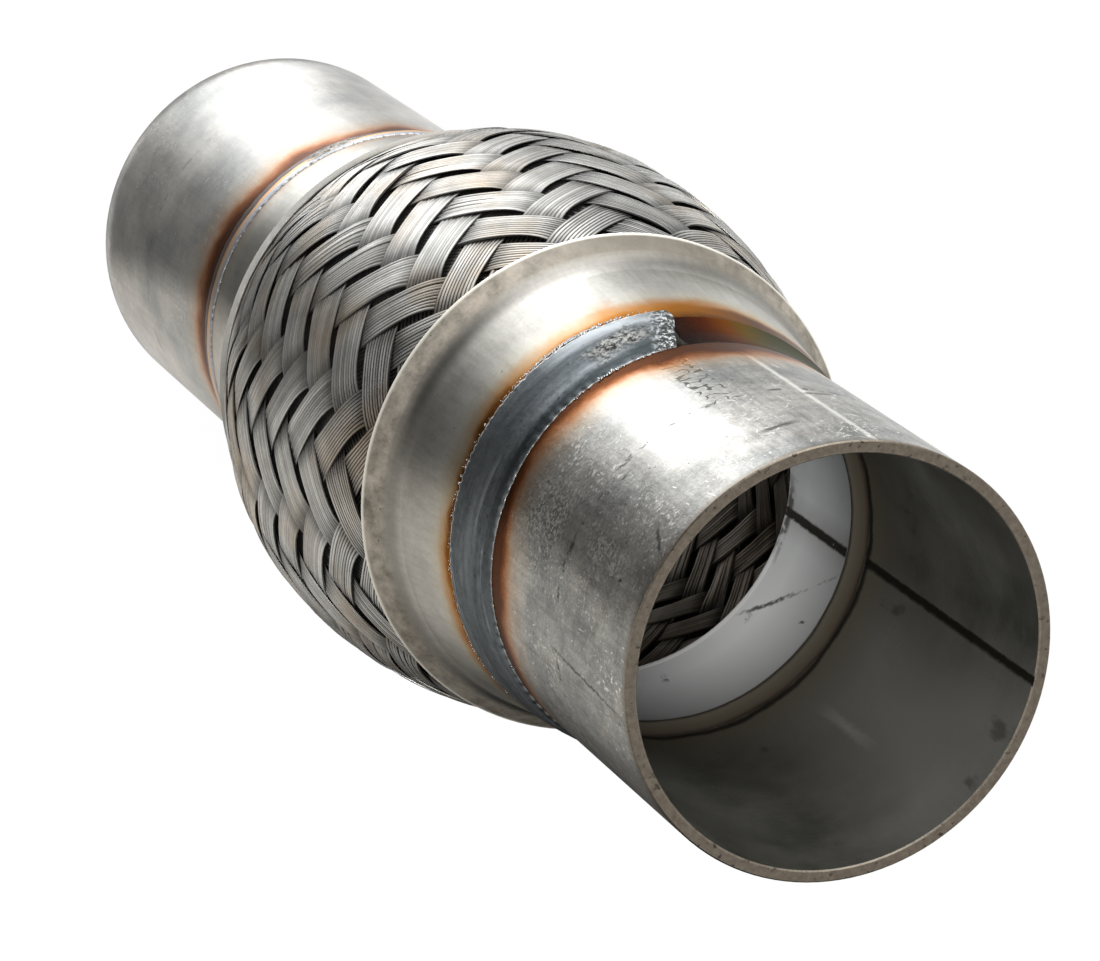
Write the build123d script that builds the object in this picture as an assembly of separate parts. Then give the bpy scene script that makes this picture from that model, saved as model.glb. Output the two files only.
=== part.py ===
from build123d import *
import os
from math import asin, cos, pi, radians, sin

# Exhaust flex pipe, standing on its far end. All sizes are in millimetres.
# The axis is +Z, the far rim lies at height 0 and the near rim at the full length.

# Whole pipe
overall_length = 250.0
near_exposed = 51.6            # near tube outside its weld
far_exposed = 60.7             # far tube outside its weld

# Extension tubes
tube_radius = 31.75            # 63.5 mm outside diameter
tube_wall = 1.8
rim_break = 0.2                # broken edge of the saw cut
melt_depth = 0.4               # tube metal taken up by the weld
near_root = 5.4                # near tube covered by its weld
far_root = 0.8
seam_width = 1.5               # rolled seam inside the tube
seam_depth = 0.12
seam_azimuth = 118.5

# Ring welds
near_weld_length = 13.6        # along the axis, from the tube to the cap
far_weld_length = 7.0
weld_crown = 0.25              # rise of the bead over a straight line
weld_hollow = 0.5              # sag where the root shows with no bead on it
weld_edge = 0.2                # step where the bead ends on the cap
near_bead_start = 222.8        # azimuth where the near bead begins
near_bead_sweep = 244.0
far_bead_start = 35.0
far_bead_sweep = 318.0

# Layers clamped at each neck, from the inside out
sleeve_radius = 28.6           # inner face of the sleeve
sleeve_wall = 0.9
liner_wall = 0.7               # inner braid
bellows_wall = 0.6
jacket_wall = 0.85             # outer braid, flattened
cap_wall = 1.1
layer_gap = 0.1                # running room round the bellows

# Where each layer begins, counted from the end of the tube
cuff_setback = 2.0
liner_setback = 4.2
neck_setback = 5.0
sleeve_flare_length = 3.5
sleeve_length = 26.3

# Trumpet-shaped cap, stations counted from the neck's end
cap_toe = 3.2
cap_toe_rise = 0.5
cap_cone = 18.2
cap_cone_rise = 2.55
cap_bend = 22.5
cap_bend_rise = 4.2
cap_lip = 25.5
cap_lip_rise = 6.4
lip_round = 0.3

# Outer braid between the caps
jacket_crown_radius = 44.7
crown_shift = -5.25            # the bulge sits nearer the far cap
ribbon_count = 24              # in each direction
ribbon_cover = 0.84            # share of the pitch that a ribbon fills
ribbon_relief = 0.55           # how far a ribbon stands out of the wall
ribbon_end_relief = 0.06       # the same at a float's ends, where it dips under
ribbon_seat = 0.3              # how deep a ribbon sits in the wall
braid_turn = 8.0               # both braids, turned about the axis by these degrees
jacket_lead = 33.0             # height gained for one radian of turn
jacket_rise = -0.9             # height of the first row of floats
liner_lead = 28.3
liner_rise = 3.1
float_margin = 0.06            # gap at each end of a float, in pitches
lip_reach = 1.0                # how far a ribbon runs on under the lip
gap_side = 1.7                 # diamond-shaped opening where four floats meet

# Bellows
convolutions = 13
crest_clearance = 0.25
first_crest_ahead = 1.6        # first crest, beyond the sleeve's end

wall_steps = 14                # stations along the bulge of the braid
lip_clearance = 0.12           # between the cap and the braid under it


def end_stations(exposed, root, weld):
    """Heights of the layers at one end, counted from that end's rim."""
    tube_end = exposed + root
    neck = tube_end + neck_setback
    return {
        "foot": exposed,
        "tube_end": tube_end,
        "cuff": tube_end + cuff_setback,
        "liner": tube_end + liner_setback,
        "neck": neck,
        "toe": exposed + weld,
        "sleeve_end": tube_end + sleeve_length,
        "lip": neck + cap_lip,
    }


# Radii of the layers in the neck
sleeve_outer = sleeve_radius + sleeve_wall
liner_outer = sleeve_outer + liner_wall
cuff_inner = liner_outer + layer_gap
cuff_outer = cuff_inner + bellows_wall
jacket_inner = cuff_outer
jacket_outer = jacket_inner + jacket_wall
cap_inner = jacket_outer
cap_outer = cap_inner + cap_wall
tube_bore = tube_radius - tube_wall
melt_radius = tube_radius - melt_depth

far = end_stations(far_exposed, far_root, far_weld_length)
near = end_stations(near_exposed, near_root, near_weld_length)


def at_near(shape):
    """Turn a piece drawn for the far end round onto the near end."""
    return Pos(0, 0, overall_length) * Rot(180, 0, 0) * shape


def turned(outline, start=0.0, sweep=360.0):
    """Turn a closed outline, drawn as radius and height, about the pipe's axis."""
    face = Plane.XZ * make_face(outline)
    return Rot(0, 0, start) * revolve(face, Axis.Z, sweep)


def closed(*points):
    return Polyline(*points, close=True).edges()


def extension_tube(stations, seam):
    """Mill-finish tube: broken rim edges, a melted foot and the rolled seam inside."""
    end = stations["tube_end"]
    foot = stations["foot"]
    body = turned(closed(
        (tube_bore, rim_break),
        (tube_bore + rim_break, 0),
        (tube_radius - rim_break, 0),
        (tube_radius, rim_break),
        (tube_radius, foot),
        (melt_radius, foot),
        (melt_radius, end),
        (tube_bore, end),
    ))
    groove = Box(2 * seam_depth, seam_width, 2 * end)
    return body - Rot(0, 0, seam) * Pos(tube_bore, 0, 0) * groove


def cap_lines(neck):
    """Outside of a cap as four joined lines: toe, cone, bend and lip."""
    neck_end = (cap_outer, neck)
    toe = (cap_outer + cap_toe_rise, neck + cap_toe)
    cone = (cap_outer + cap_cone_rise, neck + cap_cone)
    bend = (cap_outer + cap_bend_rise, neck + cap_bend)
    lip = (cap_outer + cap_lip_rise, neck + cap_lip)
    cone_slope = (cone[0] - toe[0], cone[1] - toe[1])
    return [Line(neck_end, toe), Line(toe, cone), TangentArc(cone, bend, tangent=cone_slope), Line(bend, lip)]


def end_cap(stations):
    """One pressing of even thickness: neck, cone, bend and flared lip."""
    outside = Wire([line.edge() for line in cap_lines(stations["neck"])])
    sheet = offset(outside, amount=cap_wall, side=Side.LEFT)
    cap = turned(sheet.edges())
    lip_edges = cap.edges().sort_by(Axis.Z)[-2:]
    return fillet(lip_edges, lip_round)


def ring_weld(stations, bead_start, bead_sweep):
    """Bead over most of the ring, and the bare hollow root over the rest of it."""
    foot = (tube_radius, stations["foot"])
    neck = stations["neck"]
    on_cap = (cap_outer + cap_toe_rise * (stations["toe"] - neck) / cap_toe, stations["toe"])
    toe = (on_cap[0] + weld_edge, on_cap[1])
    buried = [
        (cap_outer, neck),
        (cuff_outer, neck),
        (cuff_outer, stations["tube_end"]),
        (melt_radius, stations["tube_end"]),
        (melt_radius, stations["foot"]),
    ]
    crown = ((foot[0] + toe[0]) / 2 + weld_crown, (foot[1] + toe[1]) / 2)
    bead_line = ThreePointArc(foot, crown, toe)
    bead_rest = Polyline(toe, on_cap, *buried, foot)
    bead = turned(bead_line.edges() + bead_rest.edges(), bead_start, bead_sweep)
    root_top = (cap_outer, neck)
    hollow = ((foot[0] + root_top[0]) / 2 - weld_hollow, (foot[1] + root_top[1]) / 2)
    root_line = ThreePointArc(foot, hollow, root_top)
    root_rest = Polyline(*buried, foot)
    root = turned(root_line.edges() + root_rest.edges(), bead_start + bead_sweep, 360 - bead_sweep)
    return bead + root


def inner_sleeve(stations):
    """Light ring inside the liner; its outer end is flared to meet the tube."""
    end = stations["tube_end"]
    flare = tube_bore - sleeve_radius
    start = end + sleeve_flare_length
    return turned(closed(
        (tube_bore, end),
        (tube_bore + sleeve_wall, end),
        (sleeve_outer, start),
        (sleeve_outer, stations["sleeve_end"]),
        (sleeve_radius, stations["sleeve_end"]),
        (sleeve_radius, start),
        (sleeve_radius + flare, end),
    ))


# Outer braid: one wall with woven ribbons standing out of it

def below(line, share, depth):
    """Point a depth under a line of the cap, on its axis side, at a share of its length."""
    point = line @ share
    way = line % share
    return (point.X - depth * way.Y, point.Y + depth * way.X)


def under_cap(neck):
    """Outside of the braid's wall beneath one cap; it sinks to leave room for the ribbons."""
    toe, cone, bend, lip = cap_lines(neck)
    close = cap_wall + lip_clearance
    deep = close + ribbon_relief
    return [
        (jacket_outer - lip_clearance, neck),
        below(toe, 1, close),
        below(cone, 1, close),
        below(bend, 0.5, (close + deep) / 2),
        below(lip, 0, deep),
        below(lip, 1, deep),
    ]


def mirrored(points):
    return [(radius, overall_length - height) for radius, height in points][::-1]


far_skirt = under_cap(far["neck"])
near_skirt = mirrored(under_cap(near["neck"]))
far_mouth = far_skirt[-1][1]
near_mouth = near_skirt[0][1]
mouth_radius = far_skirt[-1][0]
crown_radius = jacket_crown_radius - ribbon_relief
crown_height = (far_mouth + near_mouth) / 2 + crown_shift


def arch_radius(height):
    """Wall radius between the two caps: a low arch from mouth to mouth."""
    mouth = near_mouth if height > crown_height else far_mouth
    share = (height - crown_height) / (mouth - crown_height)
    return crown_radius - (crown_radius - mouth_radius) * share * share


def arch_points():
    step = (near_mouth - far_mouth) / wall_steps
    heights = [far_mouth + k * step for k in range(1, wall_steps)]
    return [(arch_radius(height), height) for height in heights]


def shifted(points, depth):
    """The same open outline moved towards the axis by an even depth."""
    moved = []
    last = len(points) - 1
    for k, (radius, height) in enumerate(points):
        before = points[max(k - 1, 0)]
        after = points[min(k + 1, last)]
        first = Vector(radius - before[0], height - before[1]).normalized() if k > 0 else None
        second = Vector(after[0] - radius, after[1] - height).normalized() if k < last else None
        first = first or second
        second = second or first
        way = (first + second).normalized()
        reach = depth / way.dot(first)
        moved.append((radius - reach * way.Y, height + reach * way.X))
    return moved


def radius_on(line, height):
    """Radius of an open outline at a height, between its points."""
    for (r0, z0), (r1, z1) in zip(line, line[1:]):
        if z0 <= height <= z1:
            return r0 + (r1 - r0) * (height - z0) / (z1 - z0)
    return line[0][0]


wall_line = far_skirt + arch_points() + near_skirt
wall_inside = shifted(wall_line, jacket_wall)
wall_inside[0] = (jacket_inner, far["neck"])
wall_inside[-1] = (jacket_inner, overall_length - near["neck"])


def wall_radius(height):
    return radius_on(wall_line, height)


pitch = 2 * pi / ribbon_count


def float_spans(low, high, lead, rise):
    """Every float of both ribbon families, as the family, its own angle and its two ends.

    A ribbon of one family keeps the sum of azimuth and turn, a ribbon of the other keeps the
    difference. Each passes over two and under two, so floats line up in rows along the axis.
    """
    turn_low = (low - rise) / lead
    turn_high = (high - rise) / lead
    rows = int((turn_high - turn_low) / pitch) + 4
    first_row = int(turn_low / pitch) - 2
    half = ribbon_cover / 2 * pitch / 2
    spans = []
    for family in (1, -1):
        for row in range(first_row, first_row + rows):
            for place in range(ribbon_count // 2):
                middle_turn = (row + family * 0.25) * pitch
                azimuth = (2 * place + 0.75 - family * 0.5) * pitch + radians(braid_turn)
                own = azimuth - family * (middle_turn + rise / lead)
                start = middle_turn - (0.5 - float_margin) * pitch
                stop = middle_turn + (0.5 - float_margin) * pitch
                start = max(start, turn_low + half)
                stop = min(stop, turn_high - half)
                if stop - start > 0.3 * pitch:
                    spans.append((family, own, start * lead + rise, stop * lead + rise))
    return spans


def ribbon_float(family, own, start, stop, radius_at, lead, side):
    """One float: a flat strip that rises out of the wall and dips back into it.

    side is 1 for a strip that stands outwards and -1 for one that stands inwards.
    """
    half_width = ribbon_cover * pitch / 4
    sections = []
    for share, relief in ((0, ribbon_end_relief), (0.25, ribbon_relief),
                          (0.75, ribbon_relief), (1, ribbon_end_relief)):
        height = start + share * (stop - start)
        azimuth = own + family * height / lead
        radius = radius_at(height)
        out = Vector(cos(azimuth), sin(azimuth), 0)
        around = Vector(-sin(azimuth), cos(azimuth), 0)
        centre = out * radius + Vector(0, 0, height)
        slope = (radius_at(height + 1) - radius_at(height - 1)) / 2
        along = Vector(0, 0, 1) + out * slope
        across = around * (radius * half_width) - along * (family * half_width * lead)
        top = out * (side * relief)
        foot = out * (-side * ribbon_seat)
        corners = [centre - across + foot, centre + across + foot,
                   centre + across + top, centre - across + top]
        sections.append(Wire.make_polygon(corners, close=True))
    return Solid.make_loft(sections, ruled=True)


def woven(wall, spans, radius_at, lead, side):
    """Fuse every float to the wall that carries it."""
    floats = [ribbon_float(*span, radius_at, lead, side) for span in spans]
    return wall.fuse(*floats)


def jacket_gaps():
    """Small openings right through the wall, at one corner of each outer float."""
    gaps = []
    row_height = pitch * jacket_lead
    first_row = int(far_mouth / row_height)
    last_row = int(near_mouth / row_height)
    for row in range(first_row, last_row + 1):
        height = (row + 0.5) * row_height + jacket_rise
        if not far_mouth + gap_side < height < near_mouth - gap_side:
            continue
        for place in range(ribbon_count // 2):
            azimuth = (2 * place + 1) * 360 / ribbon_count + braid_turn
            slot = Rot(45, 0, 0) * Box(4 * jacket_wall, gap_side, gap_side)
            gaps.append(Rot(0, 0, azimuth) * Pos(wall_radius(height), 0, height) * slot)
    return gaps


def outer_braid():
    wall = turned(closed(*wall_line, *wall_inside[::-1]))
    spans = float_spans(far_mouth - lip_reach, near_mouth + lip_reach, jacket_lead, jacket_rise)
    body = woven(wall, spans, wall_radius, jacket_lead, 1)
    return body.cut(*jacket_gaps())


def inner_braid():
    low = far["liner"]
    high = overall_length - near["liner"]
    wall = turned(closed(
        (sleeve_outer, low),
        (liner_outer, low),
        (liner_outer, high),
        (sleeve_outer, high),
    ))
    spans = float_spans(far["sleeve_end"], overall_length - near["sleeve_end"], liner_lead, liner_rise)
    return woven(wall, spans, lambda height: sleeve_outer, liner_lead, -1)


def bellows():
    """Corrugated tube: round crests and roots joined by flat walls, and a cuff at each end."""
    low = far["cuff"]
    high = overall_length - near["cuff"]
    first = far["sleeve_end"] + first_crest_ahead
    last = overall_length - near["sleeve_end"] - first_crest_ahead
    step = (last - first) / (convolutions - 1)
    bend = step / 4
    root = (cuff_inner + cuff_outer) / 2
    least = root + 2 * bend
    pieces = []
    here = (root, low)
    for k in range(convolutions):
        z = first + k * step
        room = min(radius_on(wall_inside, z + shift * bend) + bend * (1 - cos(asin(shift)))
                   for shift in (-1, -0.7, 0, 0.7, 1))
        crest = max(room - crest_clearance - bellows_wall / 2, least)
        rise = (root + bend, z - bend)
        pieces.append(Line(here, (root, z - 2 * bend)) if k == 0 else None)
        pieces.append(RadiusArc((root, z - 2 * bend), rise, bend, short_sagitta=True))
        if crest - bend > rise[0] + 0.01:
            pieces.append(Line(rise, (crest - bend, z - bend)))
        pieces.append(ThreePointArc((crest - bend, z - bend), (crest, z), (crest - bend, z + bend)))
        fall = (root + bend, z + bend)
        if crest - bend > fall[0] + 0.01:
            pieces.append(Line((crest - bend, z + bend), fall))
        pieces.append(RadiusArc(fall, (root, z + 2 * bend), bend, short_sagitta=True))
        here = (root, z + 2 * bend)
    pieces.append(Line(here, (root, high)))
    edges = ShapeList(e for p in pieces if p is not None for e in p.edges())
    middle = Wire(edges)
    sheet = offset(middle, amount=bellows_wall / 2)
    return turned(sheet.edges())


nodes = {
    "far_tube": lambda: extension_tube(far, seam_azimuth),
    "near_tube": lambda: at_near(extension_tube(near, -seam_azimuth)),
    "far_weld": lambda: ring_weld(far, far_bead_start, far_bead_sweep),
    "near_weld": lambda: at_near(ring_weld(near, -near_bead_start - near_bead_sweep, near_bead_sweep)),
    "far_cap": lambda: end_cap(far),
    "near_cap": lambda: at_near(end_cap(near)),
    "far_sleeve": lambda: inner_sleeve(far),
    "near_sleeve": lambda: at_near(inner_sleeve(near)),
    "bellows": bellows,
    "inner_braid": inner_braid,
    "outer_braid": outer_braid,
}

os.makedirs("parts", exist_ok=True)
for name, make in nodes.items():
    solid = make()
    solid.label = name
    export_step(solid, f"parts/{name}.step")
    print(name, round(solid.volume), "mm3")
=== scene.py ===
import bpy
import numpy as np
from mathutils import Matrix, Vector


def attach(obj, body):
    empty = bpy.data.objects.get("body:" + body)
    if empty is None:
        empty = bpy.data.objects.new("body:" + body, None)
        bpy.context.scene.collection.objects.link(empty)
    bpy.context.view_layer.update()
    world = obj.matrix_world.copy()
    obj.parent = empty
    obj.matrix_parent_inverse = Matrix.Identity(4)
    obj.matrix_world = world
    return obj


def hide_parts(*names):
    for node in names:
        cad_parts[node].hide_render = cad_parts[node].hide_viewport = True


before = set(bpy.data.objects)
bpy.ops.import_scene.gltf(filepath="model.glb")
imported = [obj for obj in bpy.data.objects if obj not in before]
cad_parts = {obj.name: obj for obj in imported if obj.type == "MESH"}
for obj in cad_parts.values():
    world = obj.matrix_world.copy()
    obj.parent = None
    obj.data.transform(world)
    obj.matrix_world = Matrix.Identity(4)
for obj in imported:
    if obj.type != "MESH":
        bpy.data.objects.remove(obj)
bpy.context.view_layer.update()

# The studio

# The pipe stands on its far rim on a white sheet of paper. Two soft lamps light it, and a tent with bright
# and dim bands is what its metal mirrors.

MM = 0.001
WHITE = (1, 1, 1, 1)


def srgb(red, green, blue):
    """A colour written 0 to 255, as the linear colour and alpha that a shader takes."""
    return tuple((c / 255) ** 2.2 for c in (red, green, blue)) + (1.0,)


def node(tree, kind, *sockets, **settings):
    """Add one shader node. Sockets are given in order: a value is set, another node's output is linked."""
    made = tree.nodes.new("ShaderNode" + kind)
    for key, value in settings.items():
        setattr(made, key, value)
    for socket, value in zip(made.inputs, sockets):
        if isinstance(value, bpy.types.NodeSocket):
            tree.links.new(value, socket)
        elif value is not None:
            socket.default_value = value
    return made


def arithmetic(tree, operation, *values):
    """One step of arithmetic on numbers and other nodes' outputs."""
    return node(tree, "Math", *values, operation=operation).outputs[0]


def fade(tree, value, start, end, first, last):
    """Go evenly from a first level to a last one as a value goes from start to end, and stay there beyond."""
    return node(tree, "MapRange", value, start, end, first, last).outputs[0]


def ramp(tree, value, *stops):
    """Colours, or grey levels, met as a value rises from 0 to 1."""
    made = node(tree, "ValToRGB", value)
    bar = made.color_ramp.elements
    bar.remove(bar[1])
    bar[0].position = stops[0][0]
    for stop in stops[1:]:
        bar.new(stop[0])
    for element in bar:
        colour = min(stops, key=lambda stop: abs(stop[0] - element.position))[1]
        element.color = colour if isinstance(colour, tuple) else (colour, colour, colour, 1)
    return made.outputs[0]


def straight_sight(tree):
    """1 where a camera, a mirror or glass sees a surface, and 0 where the surface only lights others."""
    seen = node(tree, "LightPath")
    plain = arithmetic(tree, "MAXIMUM", seen.outputs["Is Camera Ray"], seen.outputs["Is Glossy Ray"])
    return arithmetic(tree, "MAXIMUM", plain, seen.outputs["Is Transmission Ray"])


def empty_material(name):
    """A material and its tree, with no node in it yet."""
    made = bpy.data.materials.new(name)
    made.use_nodes = True
    made.node_tree.nodes.clear()
    return made, made.node_tree


def placed(name, data):
    """Put a mesh, a lamp or a camera in the scene as an object."""
    obj = bpy.data.objects.new(name, data)
    bpy.context.scene.collection.objects.link(obj)
    return obj


def facing(place, aim, roll=0.0):
    """The matrix of a lamp or camera at one place that faces another, rolled by some degrees."""
    way = Vector(place) - Vector(aim)
    turned = way.to_track_quat("Z", "Y").to_matrix().to_4x4()
    return Matrix.Translation(place) @ turned @ Matrix.Rotation(np.radians(roll), 4, "Z")


# The camera looks down into the near rim, and is rolled because the pipe lies aslant in the photo.
camera = placed("camera", bpy.data.cameras.new("camera"))
camera.matrix_world = facing(place=(0, -0.35742, 0.850566), aim=(0.004787, 0, 0.146786), roll=128.115)
camera.data.sensor_width = 36
camera.data.lens = 167.375
camera.data.clip_start = 0.05
bpy.context.scene.camera = camera
bpy.context.scene.view_settings.view_transform = "Standard"

world = bpy.data.worlds.new("studio")
world.use_nodes = True
bpy.context.scene.world = world
sky = world.node_tree
background = sky.nodes["Background"]
background.inputs["Color"].default_value = WHITE
sky.links.new(fade(sky, straight_sight(sky), 0.0, 1.0, 0.7, 1.0), background.inputs["Strength"])

paper, tree = empty_material("white paper")
share = arithmetic(tree, "MULTIPLY", straight_sight(tree), 0.96)
sheet = node(tree, "BsdfDiffuse", (0.92, 0.92, 0.92, 1))
glow = node(tree, "Emission", WHITE, 1.0)
both = node(tree, "MixShader", share, sheet.outputs[0], glow.outputs[0])
node(tree, "OutputMaterial", both.outputs[0])

floor_mesh = bpy.data.meshes.new("floor")
half = 4.0
floor_mesh.from_pydata([(-half, -half, 0), (half, -half, 0), (half, half, 0), (-half, half, 0)], [],
                       [(0, 1, 2, 3)])
floor_mesh.materials.append(paper)
floor = placed("floor", floor_mesh)


def soft_lamp(name, place, aim, size, watts):
    """A square lamp at one place, facing another."""
    lamp = bpy.data.lights.new(name, "AREA")
    lamp.size = size
    lamp.energy = watts
    obj = placed(name, lamp)
    obj.matrix_world = facing(place, aim)
    obj.visible_camera = False


soft_lamp("side lamp", place=(-0.62, -0.38, 0.55), aim=(0, 0, 0.14), size=0.5, watts=4.0)
soft_lamp("mouth lamp", place=(0.05, -0.30, 0.95), aim=(0, 0, 0.20), size=0.25, watts=8.0)

# The tent: a ring on the floor and a wall. Each band is a direction in degrees and how bright it is, and the
# bands swing round a little, in radians, with their distance from the pipe.
bands = ((-180, 1.2), (-170, 1.02), (-166, 1.06), (-157, 1.55), (-149, 2.5), (-141, 3.6), (-122, 3.8),
         (-113, 3.2), (-106, 2.3), (-98, 1.55), (-91, 0.75), (-84, 0.36), (-70, 0.2), (-50, 0.14),
         (-44, 0.42), (-37, 0.86), (-10, 1.08), (10, 0.86), (20, 0.68), (32, 0.26), (44, 0.04), (60, 0.01),
         (84, 0.02), (98, 0.6), (130, 1.2), (152, 1.4), (180, 1.2))
brightest = 4.0
swing_per_metre = 0.6
swing_from = 0.04
tent_finish, tree = empty_material("banded tent")
place = node(tree, "TexCoord").outputs["Object"]
parts = node(tree, "SeparateXYZ", place)
around = arithmetic(tree, "ARCTAN2", parts.outputs[1], parts.outputs[0])
away = node(tree, "VectorMath", place, operation="LENGTH").outputs["Value"]
around = arithmetic(tree, "MULTIPLY_ADD", arithmetic(tree, "SUBTRACT", away, swing_from),
                    swing_per_metre, around)
share = arithmetic(tree, "ADD", arithmetic(tree, "DIVIDE", around, 2 * np.pi), 0.5)
tone = ramp(tree, share, *[((direction + 180) / 360, level / brightest) for direction, level in bands])
warmth = ramp(tree, share, (0.22, (0.98, 0.99, 1.0, 1)), (0.4, (1.0, 0.965, 0.915, 1)),
              (0.6, (1.0, 0.98, 0.94, 1)), (0.75, (0.99, 1.0, 1.0, 1)))
tone = node(tree, "VectorMath", tone, warmth, operation="MULTIPLY").outputs[0]
node(tree, "OutputMaterial", node(tree, "Emission", tone, brightest).outputs[0])

ring_radius, ring_height = np.array([(0.0325, 0.0006), (0.50, 0.0006), (0.62, 0.90)]).T
turn = np.linspace(0, 2 * np.pi, 96, endpoint=False).reshape(-1, 1)
points = np.stack([ring_radius * np.cos(turn), ring_radius * np.sin(turn), ring_height + 0 * turn], axis=-1)
index = np.arange(points.size // 3).reshape(points.shape[:2])
after = np.roll(index, -1, axis=0)
quads = np.stack([index[:, :-1], index[:, 1:], after[:, 1:], after[:, :-1]], axis=-1).reshape(-1, 4)
tent_mesh = bpy.data.meshes.new("tent")
tent_mesh.from_pydata(points.reshape(-1, 3).tolist(), [], quads.tolist())
tent_mesh.materials.append(tent_finish)
tent = placed("tent", tent_mesh)
tent.visible_camera = False
tent.visible_diffuse = False
tent.visible_transmission = False
tent.visible_shadow = False


# Braided liner and jacket

# Flat ribbons of stainless wire, laid side by side and woven over two and under two, in two hands. The liner
# inside is fine and sooty, the jacket outside bright.

# A pitch is the angle from one ribbon of a hand to the next. Crossings lie a quarter of it to each side of a
# float's middle.
RIBBONS = 24
PITCH = 2 * np.pi / RIBBONS
BRAID_TURN = np.radians(8.0)
STEPS_ALONG = 84
STEPS_PER_WIRE = 4
FLATNESS = 1.7
CROSSING = 0.25
SHARP_ANGLE = 0.95
# The braid's unevenness: how far a ribbon strays and a float leans, in pitches, and how far a wire stands
# out and a ribbon tilts, in millimetres.
STRAY = 0.025
LEAN = 0.08
WIRE_OUT = 0.035
TILT = 0.09


def closed_strips(name, points, uv, crown, flip):
    """Join points, shaped (strips, along, round, 3), into tubes of quads with a cap at each end."""
    strips, along, around = points.shape[:3]
    index = np.arange(strips * along * around).reshape(strips, along, around)
    after = np.roll(index, -1, axis=2)
    quads = np.stack([index[:, :-1], after[:, :-1], after[:, 1:], index[:, 1:]], axis=-1).reshape(-1, 4)
    caps = np.concatenate([index[:, 0, ::-1], index[:, -1]])
    if flip:
        quads = quads[:, ::-1]
        caps = caps[:, ::-1]
    corners = np.concatenate([quads.ravel(), caps.ravel()]).astype(np.int32)
    starts = np.concatenate([np.arange(len(quads)) * 4, len(quads) * 4 + np.arange(len(caps)) * around])
    mesh = bpy.data.meshes.new(name)
    mesh.vertices.add(index.size)
    mesh.vertices.foreach_set("co", points.reshape(-1).astype(np.float32))
    mesh.loops.add(len(corners))
    mesh.loops.foreach_set("vertex_index", corners)
    mesh.polygons.add(len(starts))
    mesh.polygons.foreach_set("loop_start", starts.astype(np.int32))
    mesh.update(calc_edges=True)
    layer = mesh.uv_layers.new(name="strip")
    layer.data.foreach_set("uv", uv.reshape(-1, 2)[corners].reshape(-1).astype(np.float32))
    shade = mesh.attributes.new("crown", "FLOAT", "POINT")
    shade.data.foreach_set("value", crown.reshape(-1).astype(np.float32))
    mesh.polygons.foreach_set("use_smooth", np.ones(len(starts), dtype=bool))
    mesh.set_sharp_from_angle(angle=SHARP_ANGLE)
    mesh.validate()
    return placed(name, mesh)


def ribbons(name, hand, seed, outward, wall_radius, limit, span, lead, rise, half_width, lift, wires,
            wire_rise, thick):
    """All ribbons of one hand. Azimuth, in pitches, is the ribbon's number + its place across + hand x turn,
    and a small sine that makes each float lie flatter round the pipe than the ribbon as a whole.

    The radius is the wall's, plus a flattened cosine that carries the ribbon over two and under two
    of the other hand, plus one round rise for each wire and a little tilt of the ribbon's own. No part
    stands beyond the limit.
    """
    chance = np.random.default_rng(seed)
    number = np.arange(RIBBONS).reshape(-1, 1, 1)
    height = np.linspace(*span, STEPS_ALONG).reshape(1, -1, 1)
    across = np.linspace(-1, 1, STEPS_PER_WIRE * wires + 1)
    side_by_side = across.reshape(1, 1, -1)
    turn = (height - rise) / lead / PITCH
    radius = wall_radius(height)
    middle = np.cos(np.pi * (number + hand * turn - CROSSING))
    width = half_width * (0.93 + 0.07 * middle ** 2)
    spread = side_by_side * width / PITCH * np.sqrt(1 / radius ** 2 + 1 / lead ** 2)
    wander = chance.normal(0, STRAY, (RIBBONS, 1, 1)) * np.sin(turn * 1.3 + number)
    sway = LEAN * hand * np.sin(np.pi * (number + hand * turn - CROSSING))
    place = number + spread + hand * turn + sway + wander
    over = np.cos(np.pi * (number + spread / 2 + hand * turn - CROSSING))
    weave = hand * np.tanh(FLATNESS * over) / np.tanh(FLATNESS)
    within = (across + 1) / 2 * wires % 1
    round_wire = np.sqrt(np.clip(1 - (2 * within - 1) ** 2, 0, 1)).reshape(1, 1, -1)
    stand = np.repeat(chance.normal(0, WIRE_OUT, (RIBBONS, 1, wires)), STEPS_PER_WIRE, axis=2)
    stand = np.concatenate([stand, stand[:, :, -1:]], axis=2) * MM * np.sin(turn * 2.1 + number)
    tilt = chance.normal(0, TILT, (RIBBONS, 1, 1)) * np.sin(turn * 2.7 + 1.9 * number) * MM
    top = lift * weave + wire_rise * round_wire + stand + tilt * side_by_side
    under = lift * weave[:, :, [-1, 0]] - thick
    rise_all = np.concatenate([top, under], axis=2)
    angle = np.concatenate([place, place[:, :, [-1, 0]]], axis=2) * PITCH + BRAID_TURN
    reach = np.minimum(radius + outward * rise_all, limit)
    up = np.broadcast_to(height, reach.shape)
    points = np.stack([reach * np.cos(angle), reach * np.sin(angle), up], axis=-1)
    u = np.concatenate([across, across[[-1, 0]]]) * wires / 2 + wires / 2
    u = np.broadcast_to(u.reshape(1, 1, -1) + number * (wires + 3), reach.shape)
    v = up / (10 * MM)
    crown = np.concatenate([weave, weave[:, :, [-1, 0]]], axis=2)
    return closed_strips(name, points, np.stack([u, v], axis=-1), crown, flip=outward < 0)


def mixed(tree, share, first, second, mode="MIX"):
    """Blend two colours, each a value or another node's output."""
    made = node(tree, "Mix", data_type="RGBA", blend_type=mode)
    for socket, value in zip((made.inputs[0], made.inputs[6], made.inputs[7]), (share, first, second)):
        if isinstance(value, bpy.types.NodeSocket):
            tree.links.new(value, socket)
        else:
            socket.default_value = value
    return made.outputs[2]


def shaded(tree, tone, shade):
    """A tone times a shade, which darkens it below 1."""
    return mixed(tree, 1.0, tone, shade, "MULTIPLY")


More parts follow.
